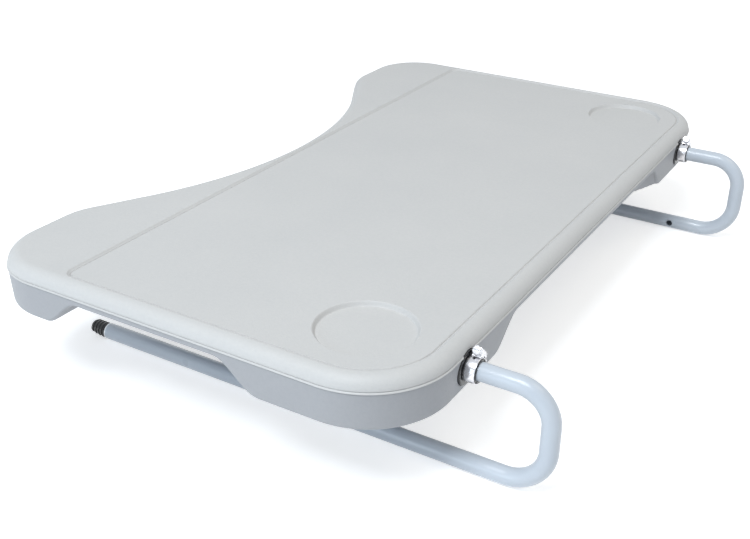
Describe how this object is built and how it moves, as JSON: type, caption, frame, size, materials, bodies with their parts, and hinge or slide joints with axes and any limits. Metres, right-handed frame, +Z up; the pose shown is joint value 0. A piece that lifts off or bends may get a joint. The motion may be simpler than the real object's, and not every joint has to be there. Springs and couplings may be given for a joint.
{
  "type": "recliner table tray",
  "caption": "Moulded table tray with a curved cut-out for the sitter, a sunk panel with cup recesses, and bent tube rails that slide into a chair's arms and swivel in clamped collars.",
  "frame": {"origin": "on the floor under the middle of the object's length, on its centreline", "axes": "+X to the rear, where the rails turn down; +Y to the sitter's left; +Z up"},
  "size_m": [0.52, 0.7566, 0.1219],
  "materials": {
    "deck_top": "fine moulded texture, light grey",
    "deck_underside": "fine moulded texture, light grey",
    "rail_coat": "smooth gloss powder coat, pale blue grey",
    "black_nylon": "satin black",
    "plated_steel": "bright plated strip",
    "screw_steel": "bright plated screw"
  },
  "bodies": {
    "tray": {"top_shell": "deck_top", "bottom_shell": "deck_underside"},
    "collar_left": {"sleeve_left": "black_nylon", "clamp_band_left": "plated_steel", "clamp_housing_left": "plated_steel"},
    "rail_left": {"rail_left": "rail_coat", "rail_tip_left": "black_nylon", "guide_plug_left": "black_nylon", "guide_pin_left": "plated_steel"},
    "screw_left": {"clamp_screw_left": "screw_steel"},
    "collar_right": {"sleeve_right": "black_nylon", "clamp_band_right": "plated_steel", "clamp_housing_right": "plated_steel"},
    "rail_right": {"rail_right": "rail_coat", "rail_tip_right": "black_nylon", "guide_plug_right": "black_nylon", "guide_pin_right": "plated_steel"},
    "screw_right": {"clamp_screw_right": "screw_steel"}
  },
  "joints": [
    {"name": "swivel_left", "type": "hinge", "parent": "tray", "child": "collar_left", "pos_m": [0.17953, 0.2775, 0.09664], "axis": [1, 0, 0], "range_deg": [-70, 70]},
    {"name": "swivel_right", "type": "hinge", "parent": "tray", "child": "collar_right", "pos_m": [0.17953, -0.2775, 0.09664], "axis": [1, 0, 0], "range_deg": [-70, 70]},
    {"name": "slide_left", "type": "slide", "parent": "collar_left", "child": "rail_left", "axis": [1, 0, 0], "range_m": [-0.015, 0.055]},
    {"name": "slide_right", "type": "slide", "parent": "collar_right", "child": "rail_right", "axis": [1, 0, 0], "range_m": [-0.015, 0.055]},
    {"name": "screw_left", "type": "hinge", "parent": "collar_left", "child": "screw_left", "pos_m": [0.18508, 0.28646, 0.10732], "axis": [0, 0.766, -0.6428], "continuous": true},
    {"name": "screw_right", "type": "hinge", "parent": "collar_right", "child": "screw_right", "pos_m": [0.18508, -0.26854, 0.10732], "axis": [0, 0.766, -0.6428], "continuous": true}
  ]
}
